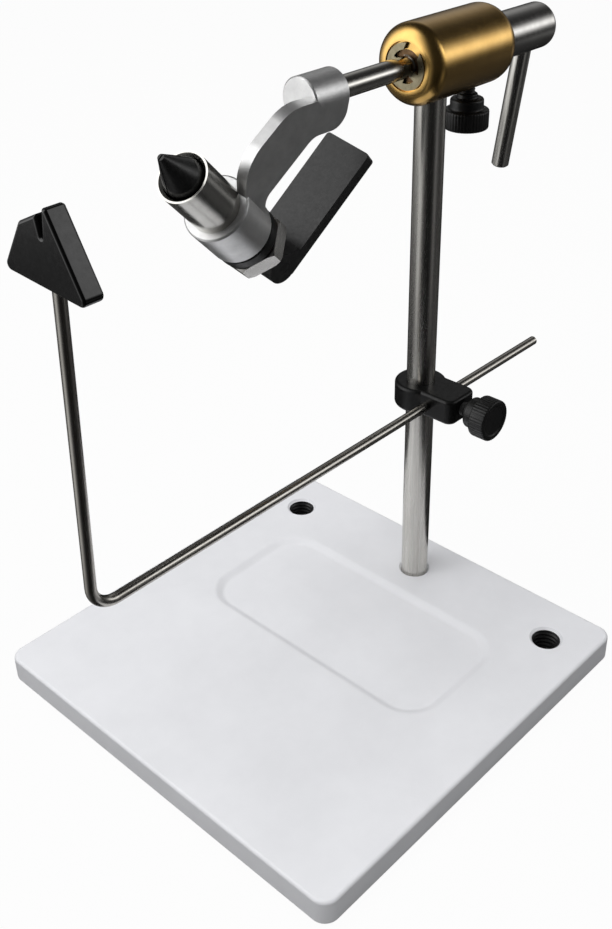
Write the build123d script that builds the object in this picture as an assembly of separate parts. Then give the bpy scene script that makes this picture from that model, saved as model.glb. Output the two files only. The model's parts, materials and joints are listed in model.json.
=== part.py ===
from build123d import *
import os
from math import cos, radians, sin, sqrt

os.makedirs("parts", exist_ok=True)

# fits between pieces
seat_gap = 0.02
running_gap = 0.05
free_gap = 0.3
overcut = 1.0

# flat square plate with a shallow tray and a row of threaded holes
plate_side = 146.05
plate_thickness = 9.525
plate_corner_radius = 5.0
plate_edge_round = 1.2
tray_width = 48.7
tray_length = 99.0
tray_depth = 1.5
tray_wall_run = 2.6
tray_corner_radius = 13.0
tray_floor_round = 3.0
tray_rim_round = 3.0
tray_to_holes = 12.7
hole_row_inset = 17.625
hole_side_inset = 15.625
hole_mouth = 0.8

# round post
post_radius = 4.7625
post_foot_height = 0.8
post_end_chamfer = 0.5

# brass barrel that carries the shaft
shaft_height = 195.9
barrel_ahead = 12.4
barrel_length = 41.0
barrel_radius = 11.9
barrel_front_round = 4.4
barrel_rear_round = 5.8
barrel_recess_radius = 7.2
barrel_recess_depth = 1.2
socket_roof = 0.8
bushing_length = 6.0
bushing_wall = 1.5

# rotary shaft, its clip, hub and crank
arm_ahead = 55.4
shaft_radius = 3.175
shaft_seat_depth = 8.8
shaft_end_chamfer = 0.4
clip_radius = 6.7
clip_ring_width = 1.9
clip_thickness = 0.8
clip_groove_depth = 0.45
clip_mouth = 5.4
clip_prong_width = 2.4
clip_turn = 12.0
hub_radius = 7.144
hub_length = 26.4
hub_end_wall = 3.7
hub_rear_round = 2.2
hub_front_chamfer = 0.4
crank_radius = 2.9
crank_inset = 7.4
crank_floor = 0.7
crank_outer_reach = 46.5
crank_end_chamfer = 0.5
crank_roll = 8.0

# offset arm, drawn in its own plane with the shaft axis at zero
arm_roll = 13.0
arm_plate_thickness = 3.5
arm_boss_radius = 6.35
arm_boss_front = -0.3
arm_boss_length = 12.6
arm_boss_chamfer = 0.4
arm_top_rise = 2.6
arm_under_drop = 7.6
arm_nose_x = -10.5
arm_knee_x = -24.8
arm_knee_drop = 9.6
arm_heel_x = 0.2
arm_hock_x = -15.3
arm_hock_drop = 21.4
arm_foot_sink = 5.4
arm_foot_inset = 1.6
arm_nose_round = 12.0
arm_knee_round = 12.0
arm_hock_round = 4.0
arm_heel_round = 6.0
arm_rear_round = 5.0

# jaw sleeve and the round end of the arm that holds it
jaw_angle = 45.0
jaw_mouth_x = -39.8
jaw_mouth_drop = 10.6
sleeve_radius = 7.144
sleeve_bore_radius = 5.9
sleeve_mouth_chamfer = 0.7
boss_front = 18.0
boss_length = 15.0
boss_radius = 9.4
boss_chamfer = 0.5
thread_radius = 5.5

# jaw adjustment behind the arm
adjust_travel = 1.0
collar_radius = 9.2
collar_length = 4.0
collar_chamfer = 0.5
nut_across_flats = 17.4625
nut_length = 5.6
nut_chamfer = 0.8

# jaws and the rod that draws them
jaw_tip_radius = 0.9
jaw_reach = 10.6
jaw_base_radius = 5.4
jaw_body_radius = 4.6
jaw_base_length = 4.0
jaw_base_slope = 1.0
jaw_tail = 24.6
jaw_split = 0.4
draw_cup_overlap = 4.6
draw_cup_floor_thickness = 3.0
draw_cup_wall = 0.6
draw_radius = 2.5
draw_end_past_pin = 2.4

# cam lever
cam_pin_radius = 1.5
cam_radius = 5.4
cam_offset = 0.6
cam_block_height = 6.5
cam_block_hollow = 4.4
lever_width = 15.875
lever_thickness = 4.0
lever_back = 5.0
lever_reach = 39.3
lever_edge_round = 1.0
lever_slot_side_gap = 0.35

# two equal thumbscrews
stud_radius = 2.38
tip_length = 3.0
knob_neck_radius = 3.2
knob_neck_length = 1.5
knob_hub_radius = 5.2
knob_hub_length = 4.4
knob_disc_radius = 7.0
knob_disc_length = 5.0
knob_round = 1.0
drag_inset = 4.3
drag_knob_gap = 2.0
clamp_knob_gap = 1.6

# stem clamp
clamp_height = 85.1
clamp_thickness = 8.8
clamp_ring_wall = 3.9
clamp_half_width = 6.8
clamp_screw_wall = 8.4
clamp_corner_round = 3.0
clamp_edge_round = 1.2
shoe_thickness = 1.05

# bent rod with the thread cradle on top
rod_radius = 1.5875
rod_behind = 55.6
rod_ahead = 144.6
rod_bend_radius = 8.0
rod_roll = 3.1
rod_end_chamfer = 0.3
cradle_base_rise = 93.1
cradle_width = 30.0
cradle_aside = 1.3
cradle_thickness = 5.6
cradle_low_wing_y = 8.7
cradle_low_wing_rise = 13.3
cradle_low_lip_y = 2.2
cradle_low_lip_rise = 16.9
cradle_notch_y = 0.5
cradle_notch_rise = 10.0
cradle_high_lip_y = -0.3
cradle_high_wing_y = -1.6
cradle_high_wing_rise = 19.0
cradle_corner_round = 1.6
cradle_lip_round = 0.4
cradle_edge_round = 0.8
cradle_socket_depth = 5.5

# small set screws
set_screw_radius = 1.5
set_screw_key = 0.75
set_screw_key_share = 0.5
set_screw_chamfer = 0.2

# places on the plate, counted from its middle
hole_row_x = plate_side / 2 - hole_row_inset
hole_spacing = plate_side / 2 - hole_side_inset
tray_center_x = hole_row_x - tray_to_holes - tray_width / 2

# places along the shaft, counted from the arm
hole_radius = post_radius + running_gap
bushing_radius = shaft_radius + bushing_wall
socket_depth = barrel_radius - bushing_radius - socket_roof
arm_boss_rear = arm_boss_front + arm_boss_length
shaft_front = arm_boss_rear - shaft_seat_depth
barrel_front = arm_ahead - barrel_ahead
barrel_rear = barrel_front + barrel_length
clip_front = barrel_front + barrel_recess_depth - free_gap - clip_thickness
hub_front = barrel_rear + free_gap
hub_rear = hub_front + hub_length
shaft_rear = hub_rear - hub_end_wall
crank_place_x = hub_rear - crank_inset
crank_inner_reach = shaft_radius + crank_floor + free_gap
drag_place_x = barrel_rear - bushing_length - drag_inset
post_top = shaft_height - barrel_radius + socket_depth - free_gap

# places along the jaw axis, counted from the sleeve's mouth
boss_rear = boss_front + boss_length
collar_start = boss_rear + free_gap
collar_end = collar_start + collar_length
nut_start = collar_end + free_gap
nut_end = nut_start + nut_length
cam_pin_place = nut_end + free_gap + cam_radius + cam_offset
draw_cup_floor = jaw_tail + free_gap
draw_cup_front = jaw_tail - draw_cup_overlap
draw_cup_end = draw_cup_floor + draw_cup_floor_thickness
sleeve_bore_depth = draw_cup_end + adjust_travel + free_gap
sleeve_end = nut_end - free_gap

# places on the clamp, counted from the post's axis
rod_offset = post_radius + shoe_thickness + rod_radius + 2 * free_gap
clamp_front = rod_offset + rod_radius + clamp_screw_wall
clamp_ring_radius = post_radius + clamp_ring_wall

# frames of the moving groups
head_place = Pos(hole_row_x - arm_ahead, 0, shaft_height)
rotor_place = head_place * Rot(arm_roll, 0, 0)
crank_place = head_place * Rot(crank_roll, 0, 0)
jaw_plane = Plane(
    origin=(jaw_mouth_x, 0, -jaw_mouth_drop),
    x_dir=(0, 1, 0),
    z_dir=(cos(radians(jaw_angle)), 0, -sin(radians(jaw_angle))),
)
jaw_place = rotor_place * jaw_plane.location
clamp_place = Pos(hole_row_x, 0, clamp_height)
cradle_place = clamp_place * Pos(0, -rod_offset, 0) * Rot(rod_roll, 0, 0)
cradle_head_place = cradle_place * Pos(-rod_ahead, 0, cradle_base_rise)


def rod_along_x(radius, start, end):
    return Pos((start + end) / 2, 0, 0) * Rot(0, 90, 0) * Cylinder(radius, end - start)


def rod_along_z(radius, start, end):
    return Pos(0, 0, (start + end) / 2) * Cylinder(radius, end - start)


def hole_along_x(radius, start, end):
    return rod_along_x(radius, start - overcut, end + overcut)


def hole_along_z(radius, start, end):
    return rod_along_z(radius, start - overcut, end + overcut)


def end_circles(body, axis):
    return body.edges().filter_by(GeomType.CIRCLE).sort_by(axis)


def turned_along_z(points):
    profile = make_face(Polyline(*points, close=True))
    return revolve(Plane.XZ * profile, Axis.Z)


def set_screw(length):
    body = rod_along_z(set_screw_radius, 0, length)
    body = chamfer(end_circles(body, Axis.Z), set_screw_chamfer)
    key_depth = set_screw_key_share * length
    key = extrude(RegularPolygon(set_screw_key, 6), key_depth + overcut)
    return body - Pos(0, 0, length - key_depth) * key


def set_screw_hole(length):
    return rod_along_z(set_screw_radius + seat_gap, 0, length)


def sideways(x, inner):
    return Pos(x, inner, 0) * Rot(-90, 0, 0)


def tray_section(height):
    """The tray's outline at a height over its floor: the wall slopes outward to the rim."""
    inset = tray_wall_run * (1 - height / tray_depth)
    outline = RectangleRounded(tray_width - 2 * inset, tray_length - 2 * inset, tray_corner_radius - inset)
    return Pos(0, 0, height) * outline


def base_plate():
    slab = extrude(RectangleRounded(plate_side, plate_side, plate_corner_radius), plate_thickness)
    slab = fillet(slab.edges().filter_by(Plane.XY), plate_edge_round)
    tray = loft([tray_section(0), tray_section(tray_depth + overcut)], ruled=True)
    tray = fillet(tray.faces().sort_by(Axis.Z)[0].edges(), tray_floor_round)
    slab = slab - Pos(tray_center_x, 0, plate_thickness - tray_depth) * tray
    slab = fillet(slab.faces().sort_by(Axis.Z)[-1].inner_wires()[0].edges(), tray_rim_round)
    cone = Cone(hole_radius, hole_radius + 2 * hole_mouth, 2 * hole_mouth)
    for side in (-1, 0, 1):
        spot = Pos(hole_row_x, side * hole_spacing, 0)
        slab = slab - spot * hole_along_z(hole_radius, 0, plate_thickness)
        slab = slab - spot * Pos(0, 0, plate_thickness) * cone
    return slab


def post():
    rod = rod_along_z(post_radius, post_foot_height, post_top)
    rod = chamfer(end_circles(rod, Axis.Z), post_end_chamfer)
    return Pos(hole_row_x, 0, 0) * rod


def head_barrel():
    shell = rod_along_x(barrel_radius, barrel_front, barrel_rear)
    shell = fillet(end_circles(shell, Axis.X)[0], barrel_front_round)
    shell = fillet(end_circles(shell, Axis.X)[-1], barrel_rear_round)
    shell = shell - hole_along_x(bushing_radius + seat_gap, barrel_front, barrel_rear)
    recess = rod_along_x(barrel_recess_radius, barrel_front - overcut, barrel_front + barrel_recess_depth)
    shell = shell - recess
    socket_top = socket_depth - barrel_radius
    socket = rod_along_z(hole_radius, -2 * barrel_radius, socket_top)
    shell = shell - Pos(arm_ahead, 0, 0) * socket
    drag_hole = rod_along_z(stud_radius + running_gap, -2 * barrel_radius, 0)
    shell = shell - Pos(drag_place_x, 0, 0) * drag_hole
    shell = shell - post_screw_place() * set_screw_hole(2 * barrel_radius)
    return head_place * shell


def post_screw_place():
    return Pos(0, 0, socket_depth / 2 - barrel_radius) * sideways(arm_ahead, post_radius)


def post_set_screw():
    drop = barrel_radius - socket_depth / 2
    length = sqrt(barrel_radius ** 2 - drop ** 2) - post_radius - free_gap
    return head_place * post_screw_place() * set_screw(length)


def bushing(start):
    sleeve = rod_along_x(bushing_radius, start, start + bushing_length)
    sleeve = sleeve - hole_along_x(shaft_radius + running_gap, start, start + bushing_length)
    return head_place * sleeve


def rotary_shaft():
    rod = rod_along_x(shaft_radius, shaft_front, shaft_rear)
    rod = chamfer(end_circles(rod, Axis.X), shaft_end_chamfer)
    start = clip_front - seat_gap
    end = clip_front + clip_thickness + seat_gap
    groove = rod_along_x(shaft_radius + overcut, start, end)
    groove = groove - rod_along_x(shaft_radius - clip_groove_depth, start, end)
    return rotor_place * (rod - groove)


def shaft_clip():
    groove_radius = shaft_radius - clip_groove_depth + seat_gap
    ring = Circle(clip_radius) - Circle(clip_radius - clip_ring_width)
    ring = ring - Pos(0, clip_radius) * Rectangle(clip_mouth, 2 * clip_radius)
    prong = Rectangle(clip_prong_width, clip_radius - groove_radius - clip_ring_width / 2)
    prong = Pos(0, (clip_radius + groove_radius) / 2) * prong
    for turn in (100, 180, 260):
        ring = ring + Rot(0, 0, turn) * prong
    clip = extrude(ring - Circle(groove_radius), clip_thickness)
    across = Plane(origin=(clip_front, 0, 0), x_dir=(0, 1, 0), z_dir=(1, 0, 0))
    return rotor_place * Rot(clip_turn, 0, 0) * across.location * clip


def rear_hub():
    body = rod_along_x(hub_radius, hub_front, hub_rear)
    body = fillet(end_circles(body, Axis.X)[-1], hub_rear_round)
    body = chamfer(end_circles(body, Axis.X)[0], hub_front_chamfer)
    body = body - rod_along_x(shaft_radius + seat_gap, hub_front - overcut, shaft_rear + free_gap)
    hole = rod_along_z(crank_radius + seat_gap, -2 * hub_radius, free_gap - crank_inner_reach)
    body = body - Pos(crank_place_x, 0, 0) * hole
    body = body - hub_screw_place() * set_screw_hole(hub_radius)
    return crank_place * body


def hub_screw_place():
    return sideways((hub_front + crank_place_x) / 2, shaft_radius)


def hub_set_screw():
    return crank_place * hub_screw_place() * set_screw(hub_radius - shaft_radius - free_gap)


def crank_rod():
    rod = rod_along_z(crank_radius, -crank_outer_reach, -crank_inner_reach)
    rod = chamfer(end_circles(rod, Axis.Z), crank_end_chamfer)
    return crank_place * Pos(crank_place_x, 0, 0) * rod


def on_jaw_axis(along, above):
    spot = jaw_plane.from_local_coords(Vector(0, above, along))
    return (spot.X, spot.Z)


def arm_outline():
    corners = [
        (arm_boss_rear, 0),
        (arm_boss_rear, -arm_under_drop),
        (arm_heel_x, -arm_under_drop),
        (arm_hock_x, -arm_hock_drop),
        on_jaw_axis(boss_rear - arm_foot_inset, arm_foot_sink),
        on_jaw_axis(boss_front + arm_foot_inset, arm_foot_sink),
        (arm_knee_x, -arm_knee_drop),
        (arm_nose_x, arm_top_rise),
        (arm_boss_front, arm_top_rise),
        (arm_boss_front + arm_top_rise, 0),
    ]
    rounds = {
        1: arm_rear_round,
        2: arm_heel_round,
        3: arm_hock_round,
        6: arm_knee_round,
        7: arm_nose_round,
    }
    face = make_face(Polyline(*corners, close=True))
    for index, radius in rounds.items():
        corner = face.vertices().sort_by_distance(Vector(*corners[index]))[0]
        face = fillet(corner, radius)
    return face


def offset_arm():
    near_side = Plane.XZ.offset(arm_boss_radius - arm_plate_thickness)
    arm = extrude(near_side * arm_outline(), arm_plate_thickness)
    shaft_boss = rod_along_x(arm_boss_radius, arm_boss_front, arm_boss_rear)
    arm = arm + chamfer(end_circles(shaft_boss, Axis.X)[0], arm_boss_chamfer)
    jaw_boss = rod_along_z(boss_radius, boss_front, boss_rear)
    jaw_boss = chamfer(end_circles(jaw_boss, Axis.Z), boss_chamfer)
    arm = arm + jaw_plane.location * jaw_boss
    arm = arm - rod_along_x(shaft_radius + seat_gap, shaft_front - free_gap, arm_boss_rear + overcut)
    bore = rod_along_z(sleeve_radius + seat_gap, boss_front - boss_length, boss_rear + boss_length)
    arm = arm - jaw_plane.location * bore
    arm = arm - arm_screw_place() * set_screw_hole(2 * arm_boss_radius)
    arm = arm - jaw_plane.location * sleeve_screw_place() * set_screw_hole(boss_radius)
    return rotor_place * arm


def arm_screw_place():
    return sideways((shaft_front + arm_boss_rear) / 2, shaft_radius)


def arm_set_screw():
    length = arm_boss_radius - shaft_radius - free_gap
    return rotor_place * arm_screw_place() * set_screw(length)


def sleeve_screw_place():
    return Pos(sleeve_radius, 0, (boss_front + boss_rear) / 2) * Rot(0, 90, 0)


def sleeve_set_screw():
    length = boss_radius - sleeve_radius - free_gap
    return jaw_place * sleeve_screw_place() * set_screw(length)


def jaw_sleeve():
    points = [
        (sleeve_bore_radius + sleeve_mouth_chamfer, 0),
        (sleeve_radius, 0),
        (sleeve_radius, boss_rear),
        (thread_radius, boss_rear),
        (thread_radius, sleeve_end),
        (draw_radius + running_gap, sleeve_end),
        (draw_radius + running_gap, sleeve_bore_depth),
        (sleeve_bore_radius, sleeve_bore_depth),
        (sleeve_bore_radius, sleeve_mouth_chamfer),
    ]
    return jaw_place * turned_along_z(points)


def adjust_collar():
    ring = rod_along_z(collar_radius, collar_start, collar_end)
    ring = chamfer(end_circles(ring, Axis.Z), collar_chamfer)
    return jaw_place * (ring - hole_along_z(thread_radius + running_gap, collar_start, collar_end))


def adjust_nut():
    corner = nut_across_flats / 2 / cos(radians(30))
    body = extrude(RegularPolygon(corner, 6), nut_length)
    rounded = rod_along_z(corner, 0, nut_length)
    rounded = chamfer(end_circles(rounded, Axis.Z), nut_chamfer)
    body = (body & rounded) - hole_along_z(thread_radius + running_gap, 0, nut_length)
    return jaw_place * Pos(0, 0, nut_start) * body


def draw_rod():
    cup_radius = sleeve_bore_radius - running_gap
    rod_end = cam_pin_place + draw_end_past_pin
    points = [
        (cup_radius - draw_cup_wall, draw_cup_front),
        (cup_radius, draw_cup_front),
        (cup_radius, draw_cup_end),
        (draw_radius, draw_cup_end),
        (draw_radius, rod_end),
        (0, rod_end),
        (0, draw_cup_floor),
        (cup_radius - draw_cup_wall, draw_cup_floor),
    ]
    pin_hole = Rot(0, 90, 0) * Cylinder(cam_pin_radius + seat_gap, 4 * draw_radius)
    return jaw_place * (turned_along_z(points) - Pos(0, 0, cam_pin_place) * pin_hole)


def cam_pin():
    pin = Rot(0, 90, 0) * Cylinder(cam_pin_radius, lever_width)
    return jaw_place * Pos(0, 0, cam_pin_place) * pin


def lever_outline():
    round_end = Pos(-cam_offset, 0) * Circle(cam_radius)
    block = Rectangle(lever_back + cam_radius, cam_block_height, align=(Align.MAX, Align.MIN))
    hollow = Pos(-cam_radius, cam_block_height) * Circle(cam_block_hollow)
    blade = Rectangle(lever_thickness, lever_reach, align=(Align.MAX, Align.MIN))
    return (round_end + Pos(lever_back, 0) * block - hollow) + Pos(lever_back, 0) * blade


def cam_lever():
    lever = extrude(lever_outline(), lever_width / 2, both=True)
    blade_end = lever.faces().sort_by(Axis.Y)[-1]
    lever = fillet(blade_end.edges().filter_by(Axis.X), lever_edge_round)
    slot_side = draw_radius + lever_slot_side_gap
    slot_reach = sqrt(draw_radius ** 2 + draw_end_past_pin ** 2) + free_gap
    slot = Box(2 * lever_back, 4 * cam_radius, 2 * slot_side, align=(Align.MAX, Align.CENTER, Align.CENTER))
    slot = Pos(slot_reach, 0, 0) * slot
    slot = slot & Pos(0, slot_reach, 0) * Box(
        4 * lever_back, 4 * cam_radius, lever_width, align=(Align.CENTER, Align.MAX, Align.CENTER)
    )
    lever = lever - slot - Cylinder(cam_pin_radius + running_gap, 2 * lever_width)
    turn = Plane(origin=(0, 0, cam_pin_place), x_dir=(0, 0, 1), z_dir=(-1, 0, 0))
    return jaw_place * turn.location * lever


def jaw_half(side):
    points = [
        (0, -jaw_reach),
        (jaw_tip_radius, -jaw_reach),
        (jaw_base_radius, -free_gap),
        (jaw_base_radius, jaw_base_length),
        (jaw_body_radius, jaw_base_length + jaw_base_slope),
        (jaw_body_radius, jaw_tail),
        (0, jaw_tail),
    ]
    deep = 4 * (jaw_tail + jaw_reach)
    keep = Pos(side * (deep + jaw_split) / 2, 0, 0) * Box(deep, deep, deep)
    return jaw_place * (turned_along_z(points) & keep)


def knob():
    disc_start = knob_neck_length + knob_hub_length
    neck = rod_along_z(knob_neck_radius, 0, knob_neck_length)
    hub = rod_along_z(knob_hub_radius, knob_neck_length, disc_start)
    hub = fillet(end_circles(hub, Axis.Z), knob_round)
    disc = rod_along_z(knob_disc_radius, disc_start - knob_round, disc_start + knob_disc_length)
    disc = fillet(end_circles(disc, Axis.Z), knob_round)
    return neck + hub + disc - rod_along_z(stud_radius + seat_gap, -overcut, disc_start + free_gap)


def stud(reach):
    return rod_along_z(stud_radius, -reach, knob_neck_length + knob_hub_length)


def thumb_tip(reach):
    return rod_along_z(stud_radius, -reach - seat_gap - tip_length, -reach - seat_gap)


def clamp_block():
    ring = Circle(clamp_ring_radius)
    bar = Rectangle(2 * clamp_half_width, clamp_front, align=(Align.CENTER, Align.MAX))
    bar = fillet(bar.vertices().sort_by(Axis.Y)[:2], clamp_corner_round)
    block = Pos(0, 0, -clamp_thickness / 2) * extrude(ring + bar, clamp_thickness)
    block = fillet(block.edges().filter_by(Plane.XY), clamp_edge_round)
    block = block - Cylinder(hole_radius, 4 * clamp_thickness)
    rod_hole = Rot(0, 90, 0) * Cylinder(rod_radius + running_gap, 4 * clamp_half_width)
    block = block - Pos(0, -rod_offset, 0) * rod_hole
    screw_hole = Rot(90, 0, 0) * rod_along_z(stud_radius + running_gap, 0, 2 * clamp_front)
    return clamp_place * (block - screw_hole)


def clamp_shoe():
    inner = post_radius + free_gap
    return clamp_place * Rot(90, 0, 0) * rod_along_z(stud_radius, inner, inner + shoe_thickness)


def cradle_rod():
    bend_start = rod_bend_radius - rod_ahead
    bend_end = (-rod_ahead, 0, rod_bend_radius)
    slant = rod_bend_radius * cos(radians(45))
    bend_middle = (bend_start - slant, 0, rod_bend_radius - slant)
    level = Line((rod_behind, 0, 0), (bend_start, 0, 0))
    bend = ThreePointArc((bend_start, 0, 0), bend_middle, bend_end)
    upright = Line(bend_end, (-rod_ahead, 0, cradle_base_rise + cradle_socket_depth))
    section = Plane(origin=(rod_behind, 0, 0), z_dir=(-1, 0, 0)) * Circle(rod_radius)
    rod = sweep(section, path=level + bend + upright)
    rod = chamfer(end_circles(rod, Axis.X)[-1], rod_end_chamfer)
    return cradle_place * rod


def cradle_head():
    left = cradle_aside + cradle_width / 2
    right = cradle_aside - cradle_width / 2
    corners = [
        (left, 0),
        (cradle_low_wing_y, cradle_low_wing_rise),
        (cradle_low_lip_y, cradle_low_lip_rise),
        (cradle_notch_y, cradle_notch_rise),
        (cradle_high_lip_y, cradle_high_wing_rise),
        (cradle_high_wing_y, cradle_high_wing_rise),
        (right, 0),
    ]
    face = make_face(Polyline(*corners, close=True))
    for index, corner in enumerate(corners):
        in_notch = 2 <= index <= 5
        radius = cradle_lip_round if in_notch else cradle_corner_round
        face = fillet(face.vertices().sort_by_distance(Vector(*corner))[0], radius)
    across = Plane(origin=(0, 0, 0), x_dir=(0, 1, 0), z_dir=(1, 0, 0))
    head = extrude(across * face, cradle_thickness / 2, both=True)
    rims = head.faces().sort_by(Axis.X)
    head = fillet(rims[0].edges() + rims[-1].edges(), cradle_edge_round)
    head = head - rod_along_z(rod_radius + seat_gap, -overcut, cradle_socket_depth + free_gap)
    head = head - cradle_screw_place() * set_screw_hole(cradle_thickness)
    return cradle_head_place * head


def cradle_screw_place():
    return Pos(rod_radius, 0, cradle_socket_depth / 2) * Rot(0, 90, 0)


def cradle_set_screw():
    length = cradle_thickness / 2 - rod_radius
    return cradle_head_place * cradle_screw_place() * set_screw(length)


# each thumbscrew is drawn from the underside of its knob
drag_knob_top = -barrel_radius - drag_knob_gap
drag_reach = -drag_knob_top - shaft_radius - free_gap - tip_length - seat_gap
drag_place = head_place * Pos(drag_place_x, 0, drag_knob_top) * Rot(180, 0, 0)
clamp_knob_start = clamp_front + clamp_knob_gap
clamp_reach = clamp_knob_start - rod_offset - rod_radius - free_gap - tip_length - seat_gap
clamp_screw_place = clamp_place * Pos(0, -clamp_knob_start, 0) * Rot(90, 0, 0)

pieces = {
    "base_plate": base_plate(),
    "post": post(),
    "head_barrel": head_barrel(),
    "front_bushing": bushing(barrel_front + barrel_recess_depth),
    "rear_bushing": bushing(barrel_rear - bushing_length),
    "post_set_screw": post_set_screw(),
    "rotary_shaft": rotary_shaft(),
    "shaft_clip": shaft_clip(),
    "rear_hub": rear_hub(),
    "hub_set_screw": hub_set_screw(),
    "crank_rod": crank_rod(),
    "offset_arm": offset_arm(),
    "arm_set_screw": arm_set_screw(),
    "jaw_sleeve": jaw_sleeve(),
    "sleeve_set_screw": sleeve_set_screw(),
    "adjust_collar": adjust_collar(),
    "adjust_nut": adjust_nut(),
    "draw_rod": draw_rod(),
    "cam_pin": cam_pin(),
    "cam_lever": cam_lever(),
    "jaw_left": jaw_half(1),
    "jaw_right": jaw_half(-1),
    "drag_tip": drag_place * thumb_tip(drag_reach),
    "drag_stud": drag_place * stud(drag_reach),
    "drag_knob": drag_place * knob(),
    "clamp_block": clamp_block(),
    "clamp_shoe": clamp_shoe(),
    "clamp_tip": clamp_screw_place * thumb_tip(clamp_reach),
    "clamp_stud": clamp_screw_place * stud(clamp_reach),
    "clamp_knob": clamp_screw_place * knob(),
    "cradle_rod": cradle_rod(),
    "cradle_head": cradle_head(),
    "cradle_set_screw": cradle_set_screw(),
}

for name, piece in pieces.items():
    solids = len(piece.solids())
    box = piece.bounding_box()
    print(name, "solids", solids, "volume", round(piece.volume, 1), box.min, box.max)
    export_step(piece, "parts/" + name + ".step")
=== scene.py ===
# %% [markdown]
# # A rotary fly tying vise on a flat base plate
# The real object is a small bench tool: a painted plate, a polished post, a brass head with a turning
# shaft, an offset arm that holds a pair of jaws, and a bent rod with a notched cradle for the thread.
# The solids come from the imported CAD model. Blender adds the finishes and the fine forms that are too
# small for the solids: screw threads, grip ribs and softened edges. Everything stays in metres in one
# frame.

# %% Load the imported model
import json

import bpy
import numpy as np
from mathutils import Matrix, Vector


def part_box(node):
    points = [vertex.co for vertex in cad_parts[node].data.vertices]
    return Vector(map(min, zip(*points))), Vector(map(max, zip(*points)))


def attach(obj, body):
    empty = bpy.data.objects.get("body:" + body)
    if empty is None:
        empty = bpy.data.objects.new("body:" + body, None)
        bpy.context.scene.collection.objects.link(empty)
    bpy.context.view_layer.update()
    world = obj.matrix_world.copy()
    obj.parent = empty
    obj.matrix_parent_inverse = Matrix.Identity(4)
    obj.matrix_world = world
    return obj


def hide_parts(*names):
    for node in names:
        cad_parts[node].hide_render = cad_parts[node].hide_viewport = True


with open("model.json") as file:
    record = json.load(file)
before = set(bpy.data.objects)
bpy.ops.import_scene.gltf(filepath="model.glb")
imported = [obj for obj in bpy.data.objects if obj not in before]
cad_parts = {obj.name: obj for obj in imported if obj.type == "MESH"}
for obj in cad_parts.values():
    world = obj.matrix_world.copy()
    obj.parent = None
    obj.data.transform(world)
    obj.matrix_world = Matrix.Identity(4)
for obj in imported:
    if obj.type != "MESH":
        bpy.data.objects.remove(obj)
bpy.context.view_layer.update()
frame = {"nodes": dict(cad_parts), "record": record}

mm = 0.001

# %% [markdown]
# ## Camera
# The camera stands where the photograph was taken from: a little above the head, in front of the jaws
# and looking down. Its axes are written as plain vectors, which is easier to check than three Euler
# angles. The small vertical shift of the lens moves the picture up or down without turning the camera.

# %% Camera
def set_pose(thing, right, up, back, place):
    """Turn and place an object: its own x, y and z axes become right, up and back."""
    pose = np.eye(4)
    pose[:3] = np.stack((right, up, back, place), axis=1)
    thing.matrix_world = Matrix(pose.tolist())


camera_place = np.array((-0.217558, -0.209171, 0.282886))
camera_right = np.array((0.6852, -0.728095, -0.019474))
camera_up = np.array((0.382405, 0.336862, 0.860401))
camera_back = np.cross(camera_right, camera_up)
photo_height = 929.0
focal_pixels = 1170.12
axis_row = 404.0

lens = bpy.data.cameras.new("photo_camera")
lens.sensor_fit = "AUTO"
lens.sensor_width = 36.0
lens.lens = focal_pixels * lens.sensor_width / photo_height
lens.shift_y = (axis_row - photo_height / 2) / photo_height
lens.clip_start = 0.01
lens.clip_end = 20.0
camera = bpy.data.objects.new("photo_camera", lens)
bpy.context.scene.collection.objects.link(camera)
set_pose(camera, camera_right, camera_up, camera_back, camera_place)
bpy.context.scene.camera = camera
print("lens", round(lens.lens, 2), "shift", round(lens.shift_y, 4))

# %% [markdown]
# ## Meshes from grids
# Each new piece is a sheet of points on a grid of two parameters, worked out as whole numpy arrays. One
# helper turns such a grid into quads, and wraps it where the second parameter runs once around an axis.
# The two end rows are left open for a sheet, closed by a lid each for a solid, or joined for a tube.

# %% Grid helper
def grid_mesh(name, points, around=True, ends="open"):
    """Quads (i, j), (i, j + 1), (i + 1, j + 1), (i + 1, j) over points[i, j]. If around, the last column
    meets the first. The end rows are "open", closed with "lids", or "joined" to each other."""
    rows, columns = points.shape[:2]
    i, j = np.meshgrid(
        np.arange(rows if ends == "joined" else rows - 1),
        np.arange(columns if around else columns - 1),
        indexing="ij",
    )
    here, below = i * columns, (i + 1) % rows * columns
    right = (j + 1) % columns
    corners = np.stack((here + j, here + right, below + right, below + j), -1).reshape(-1)
    starts = np.arange(0, corners.size, 4)
    if ends == "lids":
        ring = np.arange(columns)
        starts = np.concatenate((starts, (corners.size, corners.size + columns)))
        corners = np.concatenate((corners, ring[::-1], ring + (rows - 1) * columns))
    mesh = bpy.data.meshes.new(name)
    mesh.vertices.add(rows * columns)
    mesh.vertices.foreach_set("co", points.reshape(-1).astype(np.float32))
    mesh.loops.add(corners.size)
    mesh.loops.foreach_set("vertex_index", corners.astype(np.int32))
    mesh.polygons.add(len(starts))
    mesh.polygons.foreach_set("loop_start", starts.astype(np.int32))
    mesh.update(calc_edges=True)
    mesh.polygons.foreach_set("use_smooth", np.ones(len(starts), dtype=bool))
    mesh.validate()
    piece = bpy.data.objects.new(name, mesh)
    bpy.context.scene.collection.objects.link(piece)
    return piece


# %% [markdown]
# ## Shader helpers
# A material is a small graph of nodes. These helpers add a node, link several sockets at once and do
# sums. The last one tells rays that show a surface from rays that only carry its light to other surfaces,
# so that a background can look white without lighting the object more.

# %% Shader helpers
def plain_node(tree, kind, **values):
    """A new node of that kind with its own settings."""
    node = tree.nodes.new(kind)
    for key, value in values.items():
        setattr(node, key, value)
    return node


def link_nodes(tree, *pairs):
    """Link each (output, input) pair."""
    for source, target in pairs:
        tree.links.new(source, target)


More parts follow.
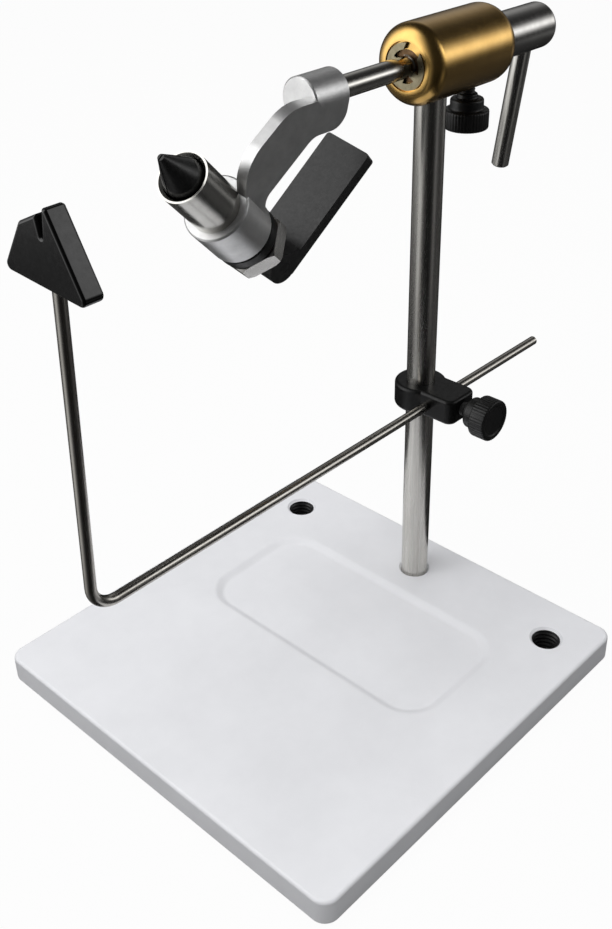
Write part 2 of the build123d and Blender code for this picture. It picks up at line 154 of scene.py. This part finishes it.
def math_node(tree, operation, first, second):
    """A Math node; each input is a socket to link or a plain number."""
    node = plain_node(tree, "ShaderNodeMath", operation=operation)
    for socket, value in zip(node.inputs, (first, second)):
        if isinstance(value, float):
            socket.default_value = value
        else:
            tree.links.new(value, socket)
    return node.outputs[0]


def shown_share(tree, share):
    """share for rays that show a surface (camera, mirror and glass rays), 0 for rays that light others."""
    path = plain_node(tree, "ShaderNodeLightPath").outputs
    mirror = math_node(tree, "MAXIMUM", path["Is Camera Ray"], path["Is Glossy Ray"])
    shown = math_node(tree, "MAXIMUM", mirror, path["Is Transmission Ray"])
    return math_node(tree, "MULTIPLY", shown, share)


# %% [markdown]
# ## Floor
# The photograph has a plain white ground. The floor is a pale sheet: part of it answers the lamps, so it
# keeps the soft shadow, and part of it is simply white to the camera. It lies a hair under the plate, so
# that the two faces don't fight for the same place.

# %% Floor
floor_reach = 6.0
floor_drop = 0.2 * mm
floor_grey = 0.47
white_share = 0.96
full_white = (1.0, 1.0, 1.0, 1.0)
edge = np.array((-floor_reach, floor_reach))
floor_x, floor_y = np.meshgrid(edge, edge, indexing="xy")
floor_points = np.stack((floor_x, floor_y, np.full_like(floor_x, -floor_drop)), -1)
floor = grid_mesh("floor", floor_points, around=False)
floor_paint = bpy.data.materials.new("pale_floor")
floor_paint.use_nodes = True
tree = floor_paint.node_tree
shader = tree.nodes["Principled BSDF"]
shader.inputs["Base Color"].default_value = (floor_grey, floor_grey, floor_grey, 1.0)
shader.inputs["Roughness"].default_value = 0.9
shader.inputs["Specular IOR Level"].default_value = 0.0
white = plain_node(tree, "ShaderNodeEmission")
white.inputs["Color"].default_value = full_white
blend = plain_node(tree, "ShaderNodeMixShader")
link_nodes(
    tree,
    (shown_share(tree, white_share), blend.inputs["Fac"]),
    (shader.outputs["BSDF"], blend.inputs[1]),
    (white.outputs["Emission"], blend.inputs[2]),
    (blend.outputs["Shader"], tree.nodes["Material Output"].inputs["Surface"]),
)
floor.data.materials.append(floor_paint)
print("floor", floor_reach * 2, "m wide")

# %% [markdown]
# ## Studio glow
# Polished steel shows its surroundings, and a studio is never white all round. The glow is a number for
# each direction, given by azimuth and elevation in degrees: a dark room, a tall white wall on the left and
# some soft patches. They give the post and the shaft their dark and light bands.

# %% Studio glow
def soft_step(value, at, blur):
    """From 0 to 1 around at: 1 / (1 + exp(-(value - at) / blur))."""
    return 1.0 / (1.0 + np.exp(-(value - at) / blur))


def lobe(azimuth, elevation, at, up, wide, tall):
    """A soft spot: exp(-(d_azimuth / wide)^2 - (d_elevation / tall)^2), in degrees."""
    aside = (azimuth - at + 180.0) % 360.0 - 180.0
    return np.exp(-((aside / wide) ** 2) - ((elevation - up) / tall) ** 2)


# strength, then the azimuth, elevation, width and height of each patch in degrees
wall_patch = (2.6, 140.0, 20.0, 30.0, 90.0)
studio_patches = (
    (1.9, 324.0, 11.0, 22.0, 9.0),
    (2.6, 304.0, 27.0, 12.0, 12.0),
    (0.7, 162.0, -31.0, 21.0, 20.0),
    (0.22, 284.0, -24.0, 10.0, 14.0),
    (0.12, 95.0, -25.0, 30.0, 25.0),
    (0.3, 344.0, -14.0, 9.0, 5.0),
    (0.4, 32.0, 26.0, 22.0, 14.0),
    (0.06, 328.0, -37.0, 30.0, 18.0),
)
room_glow = 0.012
table_edge, table_blur = -15.5, 1.5
ceiling_edge, ceiling_blur = 62.0, 4.0


def studio_glow(azimuth, elevation):
    """How bright the studio is in each direction: a dark room, the wall, which starts above the table and
    ends under the ceiling, and the sum of the patches."""
    above_table = soft_step(elevation, table_edge, table_blur)
    below_ceiling = 1.0 - soft_step(elevation, ceiling_edge, ceiling_blur)
    wall_strength, *wall_shape = wall_patch
    wall = wall_strength * above_table * below_ceiling * lobe(azimuth, elevation, *wall_shape)
    patches = sum(strength * lobe(azimuth, elevation, *shape) for strength, *shape in studio_patches)
    return room_glow * (1.0 + above_table) + wall + patches


print("studio with", len(studio_patches), "patches and a wall")

# %% [markdown]
# ## Studio bowl
# The glow is carried by a bowl around the object that only reflections see: a flat bottom with rings that
# get wider outwards, and a half sphere. Each point stores its glow as an attribute, and the material emits
# it.

# %% Studio bowl
bowl_radius = 1.6
bowl_lift = 0.4 * mm
bowl_center = np.array((0.0, 0.0, 0.19))
bottom_hole, top_hole = 1.0 * mm, 0.1 * mm
bottom_rings = np.geomspace(0.05, 1.4, 40)
bowl_step = 3.0

turn = np.radians(np.arange(0.0, 360.0, bowl_step))
climb = np.radians(np.arange(0.0, 90.0 + bowl_step / 2, bowl_step))
flat_reach = np.concatenate(((bottom_hole,), bottom_rings))
reach = np.concatenate((flat_reach, bowl_radius * np.cos(climb) + top_hole))
height = np.concatenate((np.zeros_like(flat_reach), bowl_radius * np.sin(climb))) + bowl_lift
bowl_x = reach[:, None] * np.cos(turn)
bowl_y = reach[:, None] * np.sin(turn)
bowl_points = np.stack((bowl_x, bowl_y, np.repeat(height[:, None], len(turn), 1)), -1)
bowl = grid_mesh("studio_bowl", bowl_points)
way = bowl_points - bowl_center
azimuth = np.degrees(np.arctan2(way[..., 1], way[..., 0]))
elevation = np.degrees(np.arctan2(way[..., 2], np.hypot(way[..., 0], way[..., 1])))
glow = studio_glow(azimuth, elevation)
tint = bowl.data.attributes.new("glow", "FLOAT", "POINT")
tint.data.foreach_set("value", glow.reshape(-1).astype(np.float32))
bowl_paint = bpy.data.materials.new("studio_glow")
bowl_paint.use_nodes = True
tree = bowl_paint.node_tree
tree.nodes.remove(tree.nodes["Principled BSDF"])
stored = plain_node(tree, "ShaderNodeAttribute", attribute_name="glow")
light = plain_node(tree, "ShaderNodeEmission")
link_nodes(
    tree,
    (stored.outputs["Fac"], light.inputs["Strength"]),
    (light.outputs["Emission"], tree.nodes["Material Output"].inputs["Surface"]),
)
bowl.data.materials.append(bowl_paint)
bowl.visible_camera = False
bowl.visible_diffuse = False
bowl.visible_transmission = False
bowl.visible_shadow = False
bowl.visible_volume_scatter = False
print("studio glow from", round(float(glow.min()), 3), "to", round(float(glow.max()), 3))

# %% [markdown]
# ## Lamps
# Two large soft boxes light the matt surfaces: one overhead for the top of the plate, and a weaker one on
# the left, which keeps the plate's left side lighter than its right. Shiny pieces don't see the boxes,
# only the bowl and each other.

# %% Lamps
def across(axis):
    """Two unit vectors at right angles to axis and to each other, right-handed with it."""
    axis = np.asarray(axis, dtype=float)
    helper = np.eye(3)[np.argmin(np.abs(axis))]
    first = np.cross(axis, helper)
    first = first / np.linalg.norm(first)
    return first, np.cross(axis, first)


def soft_box(name, place, size, power, target):
    """A square area lamp at place that faces target and isn't seen in reflections."""
    lamp = bpy.data.lights.new(name, "AREA")
    lamp.shape = "SQUARE"
    lamp.size = size
    lamp.energy = power
    box = bpy.data.objects.new(name, lamp)
    bpy.context.scene.collection.objects.link(box)
    back = np.array(place) - np.array(target)
    back = back / np.linalg.norm(back)
    set_pose(box, *across(back), back, place)
    box.visible_glossy = False


lamp_target = (0.0, 0.0, 0.1)
overhead_place = (0.05, 0.05, 1.30)
left_place = (-0.70, 0.20, 1.15)
soft_box("overhead_box", overhead_place, size=1.3, power=13.0, target=lamp_target)
soft_box("left_box", left_place, size=0.9, power=8.6, target=lamp_target)
print("two soft boxes")

# %% [markdown]
# ## World
# The world is a weak even fill, but the camera sees it as white as the far floor, so no horizon shows.
# The Standard view shows a colour about as it is written.

# %% World
fill_strength = 0.21
horizon_white = 0.975
world = bpy.data.worlds.new("soft_fill")
bpy.context.scene.world = world
world.use_nodes = True
tree = world.node_tree
fill = tree.nodes["Background"]
fill.inputs["Color"].default_value = full_white
level = math_node(tree, "MAXIMUM", shown_share(tree, horizon_white), fill_strength)
tree.links.new(level, fill.inputs["Strength"])
bpy.context.scene.view_settings.view_transform = "Standard"
print("a fill of", fill_strength)

# %% [markdown]
# ## Smooth shading on the CAD nodes
# A CAD node arrives as loose triangles, which would render as facets. Its mesh is left alone, and three
# modifiers finish it: Weld joins the triangles, Edge Split keeps the real corners sharp, and Weighted
# Normal lets large flat faces stay flat next to their rounded edges. The arm and the lever also get a
# narrow Bevel, because a real machined edge is always a little broken and catches the light.

# %% Shade the nodes
corner_angle = np.radians(32.0)
weld_reach = 0.001 * mm
broken_edges = {"offset_arm": 0.2 * mm, "cam_lever": 0.45 * mm}


def smooth_node(node, bevel):
    """Weld, a narrow Bevel on the corners if its width isn't 0, Edge Split and Weighted Normal."""
    node.data.polygons.foreach_set("use_smooth", np.ones(len(node.data.polygons), dtype=bool))
    weld = node.modifiers.new("join_triangles", "WELD")
    weld.merge_threshold = weld_reach
    if bevel:
        edge = node.modifiers.new("broken_edge", "BEVEL")
        edge.width = bevel
        edge.segments = 2
        edge.limit_method = "ANGLE"
        edge.angle_limit = corner_angle
        edge.use_clamp_overlap = True
    split = node.modifiers.new("keep_corners", "EDGE_SPLIT")
    split.split_angle = corner_angle
    split.use_edge_sharp = False
    even = node.modifiers.new("flat_faces", "WEIGHTED_NORMAL")
    even.weight = 90
    even.keep_sharp = True


for name, node in frame["nodes"].items():
    smooth_node(node, broken_edges.get(name, 0.0))
print("smoothed", len(frame["nodes"]), "nodes")

# %% [markdown]
# ## Noises
# The patterns of the finishes all read Object coordinates, which are metres here, so a noise scale of 1000
# gives marks about a millimetre apart. Turned pieces carry fine rings; a one-dimensional noise along the
# axis draws them.

# %% Noises
def speckle(tree, scale, detail=4.0, stretch=(1.0, 1.0, 1.0)):
    """A noise over Object coordinates, from 0 to 1, drawn out along an axis by stretch."""
    where = plain_node(tree, "ShaderNodeTexCoord")
    place = plain_node(tree, "ShaderNodeMapping")
    place.inputs["Scale"].default_value = stretch
    noise = plain_node(tree, "ShaderNodeTexNoise")
    noise.inputs["Scale"].default_value = scale
    noise.inputs["Detail"].default_value = detail
    noise.inputs["Roughness"].default_value = 0.6
    link_nodes(
        tree,
        (where.outputs["Object"], place.inputs["Vector"]),
        (place.outputs["Vector"], noise.inputs["Vector"]),
    )
    return noise.outputs["Fac"]


def rings(tree, axis):
    """Turning marks: a one-dimensional noise of the distance along axis."""
    where = plain_node(tree, "ShaderNodeTexCoord")
    along = plain_node(tree, "ShaderNodeVectorMath", operation="DOT_PRODUCT")
    along.inputs[1].default_value = tuple(axis)
    noise = plain_node(tree, "ShaderNodeTexNoise", noise_dimensions="1D")
    noise.inputs["Scale"].default_value = 420.0
    noise.inputs["Detail"].default_value = 1.0
    noise.inputs["Roughness"].default_value = 0.7
    link_nodes(
        tree,
        (where.outputs["Object"], along.inputs[0]),
        (along.outputs["Value"], noise.inputs["W"]),
    )
    return noise.outputs["Fac"]


# %% [markdown]
# ## Finishes
# A finish is a Principled shader with three noises behind it: one for tone, one for gloss and one for
# relief. A real surface is never one even value, and these small changes are what the eye reads as paint,
# metal or plastic.

# %% Finish helpers
noise_low, noise_high = 0.3, 0.7


def new_finish(name, metallic=0.0, specular=0.5):
    """A node material with a Principled shader."""
    paint = bpy.data.materials.new(name)
    paint.use_nodes = True
    shader = paint.node_tree.nodes["Principled BSDF"]
    shader.inputs["Metallic"].default_value = metallic
    shader.inputs["Specular IOR Level"].default_value = specular
    return paint, paint.node_tree, shader


def tone(tree, shader, source, dark, light, low=noise_low, high=noise_high):
    """Base colour that runs from dark to light as the noise runs from low to high."""
    ramp = plain_node(tree, "ShaderNodeValToRGB")
    first, last = ramp.color_ramp.elements
    first.position, first.color = low, (*dark, 1.0)
    last.position, last.color = high, (*light, 1.0)
    link_nodes(tree, (source, ramp.inputs["Fac"]), (ramp.outputs["Color"], shader.inputs["Base Color"]))


def gloss(tree, shader, source, smooth, rough):
    """Roughness that runs from smooth to rough with the noise."""
    span = plain_node(tree, "ShaderNodeMapRange")
    span.inputs["From Min"].default_value = noise_low
    span.inputs["From Max"].default_value = noise_high
    span.inputs["To Min"].default_value = smooth
    span.inputs["To Max"].default_value = rough
    link_nodes(tree, (source, span.inputs["Value"]), (span.outputs["Result"], shader.inputs["Roughness"]))


def relief(tree, shader, source, depth, strength):
    """Bump of the given depth in metres from the noise."""
    bump = plain_node(tree, "ShaderNodeBump")
    bump.inputs["Strength"].default_value = strength
    bump.inputs["Distance"].default_value = depth
    link_nodes(tree, (source, bump.inputs["Height"]), (bump.outputs["Normal"], shader.inputs["Normal"]))


def grained_finish(name, tones, roughness, noises, depth, strength, **shine):
    """A finish whose tone, gloss and relief each come from a speckle; noises gives their scale and
    detail, tones and roughness give the two ends of each range."""
    paint, tree, shader = new_finish(name, **shine)
    tone_noise, gloss_noise, relief_noise = (speckle(tree, *noise) for noise in noises)
    tone(tree, shader, tone_noise, *tones)
    gloss(tree, shader, gloss_noise, *roughness)
    relief(tree, shader, relief_noise, depth, strength)
    return paint


def dress(paint, *names):
    """Put one finish on every material slot of the named CAD nodes."""
    for name in names:
        node = frame["nodes"][name]
        if not node.material_slots:
            node.data.materials.append(paint)
        for slot in node.material_slots:
            slot.material = paint


# %% [markdown]
# ## Painted plate
# The base plate has a pale powder coat: nearly white, slightly cool, matt, with a fine orange-peel skin.
# A broad noise gives a hardly visible change of tone, and two fine ones give the skin and its gloss.

# %% Powder coat
powder_coat = grained_finish(
    "powder_coat",
    tones=((0.70, 0.705, 0.73), (0.735, 0.74, 0.765)),
    roughness=(0.38, 0.5),
    noises=((60.0, 3.0), (900.0, 2.0), (1400.0, 2.0)),
    depth=0.06 * mm,
    strength=0.35,
)
dress(powder_coat, "base_plate")
print("painted the plate")

# %% [markdown]
# ## Polished steel
# The post, shaft, hub, crank and cradle rod are bright stainless rod. Their gloss is high, with fine lines
# from their making. A turned piece has rings around its axis. A drawn rod has streaks along it instead,
# and a noise that is drawn out along the rod gives them.

# %% Polished steel
def polished_steel(name, axis, tones, roughness):
    """Turned steel: broad tone, faint rings in the gloss, a very fine skin."""
    paint, tree, shader = new_finish(name, metallic=1.0)
    tone(tree, shader, speckle(tree, scale=90.0), *tones)
    gloss(tree, shader, rings(tree, axis), *roughness)
    relief(tree, shader, speckle(tree, scale=2600.0, detail=2.0), depth=0.002 * mm, strength=0.25)
    return paint


def drawn_steel(name, stretch, tones, roughness):
    """Drawn rod: tone, gloss and relief are streaks along the rod, a noise drawn out by stretch."""
    paint, tree, shader = new_finish(name, metallic=1.0)
    tone(tree, shader, speckle(tree, 1500.0, 3.0, stretch), *tones)
    gloss(tree, shader, speckle(tree, 700.0, 3.0, stretch), *roughness)
    relief(tree, shader, speckle(tree, 2200.0, 2.0, stretch), depth=0.004 * mm, strength=0.4)
    return paint


along_shaft = (1.0, 0.0, 0.0)
streak_up = (1.0, 1.0, 0.03)
steel_tones = ((0.53, 0.515, 0.48), (0.66, 0.645, 0.61))
hub_tones = ((0.47, 0.46, 0.44), (0.57, 0.56, 0.54))
rod_tones = ((0.42, 0.40, 0.37), (0.54, 0.52, 0.48))
dress(drawn_steel("post_steel", streak_up, steel_tones, roughness=(0.2, 0.32)), "post")
dress(drawn_steel("crank_steel", streak_up, steel_tones, roughness=(0.18, 0.28)), "crank_rod")
dress(polished_steel("shaft_steel", along_shaft, steel_tones, roughness=(0.16, 0.2)), "rotary_shaft")
dress(polished_steel("hub_steel", along_shaft, hub_tones, roughness=(0.17, 0.22)), "rear_hub")
dress(polished_steel("rod_steel", along_shaft, rod_tones, roughness=(0.22, 0.28)), "cradle_rod")
print("polished five rods")

# %% [markdown]
# ## Brass and bronze
# The head is a turned brass barrel. Brass darkens a little with handling, so its tone wanders between a
# bright and a browner yellow, and fine turning rings catch the light. A clear coat adds a second, soft
# sheen. The bushings inside are bronze, but their tone is made far darker than bronze as painted shade
# of the recess around the shaft.

# %% Brass and bronze
brass_tones = ((0.575, 0.345, 0.088), (0.685, 0.43, 0.125))
brass, tree, shader = new_finish("turned_brass", metallic=1.0)
shader.inputs["Coat Weight"].default_value = 0.5
shader.inputs["Coat Roughness"].default_value = 0.25
tone(tree, shader, speckle(tree, scale=120.0, detail=5.0), *brass_tones, low=0.25, high=0.75)
gloss(tree, shader, rings(tree, along_shaft), smooth=0.24, rough=0.26)
relief(tree, shader, speckle(tree, scale=2200.0, detail=2.0), depth=0.003 * mm, strength=0.25)
dress(brass, "head_barrel")
# Painted shade: the bushing tones are far darker than bronze and stand in for the shade of the recess
# around the shaft.
bronze_in_painted_shade = grained_finish(
    "bushing_alloy_in_painted_shade",
    tones=((0.10, 0.06, 0.03), (0.18, 0.11, 0.06)),
    roughness=(0.3, 0.5),
    noises=((900.0, 5.0), (2500.0, 3.0), (3500.0, 2.0)),
    depth=0.02 * mm,
    strength=0.5,
    metallic=1.0,
)
dress(bronze_in_painted_shade, "front_bushing", "rear_bushing")
print("turned the brass head")

# %% [markdown]
# ## Jaw axis
# The sleeve, collar, nut and jaws share one axis that slopes down from the mouth to the lever. The record
# gives its direction, so every pattern can follow it.

# %% Jaw axis
joints = {joint["name"]: joint for joint in frame["record"]["behaviour"]["joints"]}
jaw_axis = np.array(joints["adjust_turn"]["axis"])
print("jaw axis", jaw_axis.round(4))

# %% [markdown]
# ## Arm, sleeve and nut
# The offset arm is machined aluminium with a fine satin from tumbling. The sleeve is turned stainless and
# the nut is bright steel. The draw rod, which the lever pulls, is a plainer steel.

# %% Arm, sleeve and nut
def greys(dark, light):
    """Two neutral colours."""
    return (dark, dark, dark), (light, light, light)


aluminium = grained_finish(
    "satin_aluminium",
    tones=((0.60, 0.60, 0.60), (0.74, 0.74, 0.735)),
    roughness=(0.34, 0.46),
    noises=((220.0, 5.0), (1600.0, 4.0), (2600.0, 3.0)),
    depth=0.02 * mm,
    strength=0.8,
    metallic=0.93,
)
dress(aluminium, "offset_arm")
sleeve_tones = ((0.50, 0.49, 0.46), (0.60, 0.59, 0.56))
nut_tones = ((0.56, 0.55, 0.53), (0.68, 0.67, 0.65))
dress(polished_steel("sleeve_steel", jaw_axis, sleeve_tones, roughness=(0.2, 0.25)), "jaw_sleeve")
dress(polished_steel("nut_steel", jaw_axis, nut_tones, roughness=(0.22, 0.28)), "adjust_nut")
dress(polished_steel("rod_end_steel", jaw_axis, greys(0.4, 0.5), roughness=(0.25, 0.32)), "draw_rod")
print("finished the arm group")

# %% [markdown]
# ## Black pieces
# The jaws are hardened steel with a dark oxide, and the lever, collar, clamp and cradle are black with
# different gloss. All of them stay a little above pure black, with uneven gloss, so that their edges still
# show.

# %% Black pieces
def black_finish(name, tones, roughness, grain, depth=0.01 * mm, metallic=0.0, specular=0.4):
    """A grained finish whose gloss is twice and whose tone is six times as broad as its finest grain."""
    noises = ((grain / 6.0, 4.0), (grain / 2.0, 3.0), (grain, 2.0))
    shine = {"metallic": metallic, "specular": specular}
    return grained_finish(name, tones, roughness, noises, depth, strength=0.5, **shine)


jaw_black = black_finish("jaw_oxide", greys(0.004, 0.010), roughness=(0.26, 0.4), grain=2400.0)
dress(jaw_black, "jaw_left", "jaw_right")
lever_black = black_finish(
    "lever_satin", greys(0.006, 0.012), roughness=(0.36, 0.48), grain=2600.0, specular=0.6
)
dress(lever_black, "cam_lever")
collar_black = black_finish("collar_oxide", greys(0.003, 0.008), roughness=(0.3, 0.45), grain=2200.0)
dress(collar_black, "adjust_collar")
clamp_black = black_finish(
    "clamp_black", greys(0.002, 0.004), roughness=(0.28, 0.42), grain=1500.0, depth=0.02 * mm, specular=0.3
)
dress(clamp_black, "clamp_block")
cradle_black = black_finish(
    "cradle_black", greys(0.001, 0.003), roughness=(0.12, 0.2), grain=1500.0, depth=0.006 * mm
)
dress(cradle_black, "cradle_head")
print("finished the black pieces")

# %% [markdown]
# ## Small hardware
# The screws and the cam pin carry a dark oxide, the thumbscrews are moulded plastic, the open ring on the
# shaft is spring steel, and the tips that press on the post and the shaft are pale nylon.

# %% Small hardware
screw_black = black_finish("screw_oxide", greys(0.006, 0.02), roughness=(0.3, 0.45), grain=3000.0)
dress(screw_black, "cam_pin", "post_set_screw", "hub_set_screw")
dress(screw_black, "arm_set_screw", "sleeve_set_screw", "cradle_set_screw")
knob_black = black_finish(
    "knob_plastic", greys(0.003, 0.006), roughness=(0.34, 0.5), grain=1800.0, depth=0.02 * mm
)
clip_tones = ((0.20, 0.175, 0.11), (0.30, 0.265, 0.18))
clip_steel = black_finish("clip_steel", clip_tones, roughness=(0.26, 0.4), grain=3000.0, metallic=1.0)
dress(clip_steel, "shaft_clip")
nylon = grained_finish(
    "tip_nylon",
    tones=((0.62, 0.6, 0.54), (0.7, 0.68, 0.62)),
    roughness=(0.42, 0.6),
    noises=((400.0, 3.0), (1500.0, 2.0), (2500.0, 2.0)),
    depth=0.01 * mm,
    strength=0.5,
    specular=0.4,
)
dress(nylon, "drag_tip", "clamp_tip", "clamp_shoe")
print("finished the small hardware")

# %% [markdown]
# ## Threads as surfaces
# A screw thread is a cylinder whose radius rises and falls with height and angle together: one turn moves
# the ridge by one pitch. The same idea gives the studs, as an outer thread, and the two spare holes of the
# plate, as an inner one. These forms are too fine for the solids, so they are made here.

# %% Thread surfaces
def full_turn(steps):
    """Equal angles once around, without the last, which meets the first."""
    return np.arange(steps) * 2.0 * np.pi / steps


def helix(along, angle, pitch):
    """A triangle wave from 0 to 1 in t = along / pitch - angle / 2 pi: 2 |t - nearest whole number|."""
    t = along[:, None] / pitch - angle[None, :] / (2.0 * np.pi)
    return np.abs(2.0 * (t - np.floor(t + 0.5)))


def swept(center, axis, along, radius, angle):
    """Points center + along * axis + radius * (cos angle, sin angle) across the axis."""
    first, second = across(axis)
    ring = np.cos(angle)[None, :, None] * first + np.sin(angle)[None, :, None] * second
    line = np.asarray(center) + along[:, None, None] * np.asarray(axis, dtype=float)
    return line + radius[:, :, None] * ring


def threaded_stud(name, start, axis, length, radius, depth, pitch, tip, around=40, per_pitch=12):
    """r = radius - depth * (1 - taper * (1 - helix)), closed by a flat at each end that narrows to the
    radius tip. The taper runs the thread out over one pitch."""
    angle = full_turn(around)
    inner = np.linspace(0.0, length, int(per_pitch * length / pitch))
    taper = np.clip(np.minimum(inner, length - inner) / pitch, 0.0, 1.0)[:, None]
    body = radius - depth * (1.0 - taper * (1.0 - helix(inner, angle, pitch)))
    end = np.full((1, len(angle)), tip)
    along = np.concatenate(((0.0,), inner, (length,)))
    points = swept(start, axis, along, np.concatenate((end, body, end)), angle)
    return grid_mesh(name, points, ends="lids")


def threaded_liner(name, start, axis, length, radius, depth, pitch, wall, around=48, per_pitch=14):
    """A closed tube: inner wall r = radius - depth * helix, plain outer wall r = radius + wall."""
    angle = full_turn(around)
    inner = np.linspace(length, 0.0, int(per_pitch * length / pitch))
    body = radius - depth * helix(inner, angle, pitch)
    outer = np.full((2, len(angle)), radius + wall)
    along = np.concatenate((inner, (0.0, length)))
    points = swept(start, axis, along, np.concatenate((body, outer)), angle)
    return grid_mesh(name, points, ends="joined")


# %% [markdown]
# ## Threaded studs
# Each thumbscrew has a stud. Its axis comes from the joint that it turns about and its length from the
# plain stud's box, so the thread stands exactly where the plain stud was, and it replaces it.

# %% Threaded studs
def screw_line(node_name, axis):
    """Where a node starts along axis, and how long it is, from its box."""
    low, high = (np.array(corner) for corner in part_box(node_name))
    length = float(np.abs((high - low) @ axis))
    return (low + high) / 2 - axis * length / 2, length


def hand_over(piece, paint, body_name):
    """Give a new piece its finish and the body that it moves with."""
    piece.data.materials.append(paint)
    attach(piece, body_name)
    print(piece.name, len(piece.data.polygons), "faces")


screw_axes = {screw: np.array(joints[screw + "_turn"]["axis"]) for screw in ("drag", "clamp")}
stud_form = {"radius": 2.38 * mm, "depth": 0.3 * mm, "pitch": 0.794 * mm, "tip": 0.01 * mm}
for screw, axis in screw_axes.items():
    start, length = screw_line(screw + "_stud", axis)
    stud = threaded_stud(screw + "_stud_thread", start, axis, length, **stud_form)
    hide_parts(screw + "_stud")
    hand_over(stud, screw_black, screw + "_screw")

# %% [markdown]
# ## Threads of the spare holes
# The plate has two free threaded holes beside the post. Their places and axes come from the record's
# mounts. A thin tube with the thread on its inside lines each plain hole.

# %% Threads of the spare holes
mounts = {mount["name"]: mount for mount in frame["record"]["mounts"]}
hole_foot = 0.4 * mm
hole_length = 8.3 * mm
hole_form = {"radius": 4.8 * mm, "depth": 0.55 * mm, "pitch": 1.5875 * mm, "wall": 0.25 * mm}
for label in ("near", "far"):
    mount = mounts["spare_hole_" + label]
    foot = (*mount["pos_m"][:2], hole_foot)
    liner = threaded_liner("spare_hole_thread_" + label, foot, mount["axis"], hole_length, **hole_form)
    hand_over(liner, screw_black, "stand")

# %% [markdown]
# ## Thumbscrew heads
# A moulded head is a turned profile with fine straight ribs on its rim, for grip. The profile is a line of
# corners, softened by short arcs and carried around the axis, and the ribs are a wave in the angle alone.
# The heads stand in for the plain ones.

# %% Thumbscrew heads
def soften(corners, radius, steps=5, share=0.45):
    """Replace each inner corner of a line by a short arc, the curve (1 - t)^2 first + 2 t (1 - t) corner
    + t^2 last. It starts and ends radius away, but at most that share of the shorter side."""
    middle = corners[1:-1, None]
    before, after = corners[:-2, None] - middle, corners[2:, None] - middle
    to_before, to_after = (np.linalg.norm(side, axis=2, keepdims=True) for side in (before, after))
    reach = np.minimum(radius, share * np.minimum(to_before, to_after))
    first = middle + before / to_before * reach
    last = middle + after / to_after * reach
    t = np.linspace(0.0, 1.0, steps)[None, :, None]
    arcs = (1 - t) ** 2 * first + 2 * t * (1 - t) * middle + t ** 2 * last
    return np.concatenate((corners[:1], arcs.reshape(-1, 2), corners[-1:]))


# distance along the axis, then radius: the neck, the step, the disc and its slightly sunk face
pole = 0.2
neck, step, disc, face = 3.2, 5.2, 7.0, 4.9
neck_end, step_end, disc_end, face_depth, face_rim = 1.5, 4.9, 10.9, 10.5, 5.4
knob_profile = mm * np.array((
    (0.0, pole), (0.0, neck), (neck_end, neck), (neck_end, step), (step_end, step), (step_end, disc),
    (disc_end, disc), (disc_end, face_rim), (face_depth, face), (face_depth, pole),
))
knob_round = 0.9 * mm
rib_count, steps_per_rib = 44, 8
rib_depth = 0.1 * mm
rim_start, rim_blend = 6.3 * mm, 0.5 * mm


def ribbed_knob(name, start, axis):
    """r = profile - on_rim * depth * (1 - cos(ribs * angle)) / 2, where on_rim is 1 at the disc's rim."""
    along, profile = soften(knob_profile, knob_round).T
    angle = full_turn(rib_count * steps_per_rib)
    on_rim = np.clip((profile - rim_start) / rim_blend, 0.0, 1.0)[:, None]
    radius = profile[:, None] - on_rim * rib_depth * (1.0 - np.cos(rib_count * angle)) / 2.0
    return grid_mesh(name, swept(start, axis, along, radius, angle), ends="lids")


for screw, axis in screw_axes.items():
    start = screw_line(screw + "_knob", axis)[0]
    knob = ribbed_knob(screw + "_knob_ribbed", start, axis)
    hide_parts(screw + "_knob")
    hand_over(knob, knob_black, screw + "_screw")
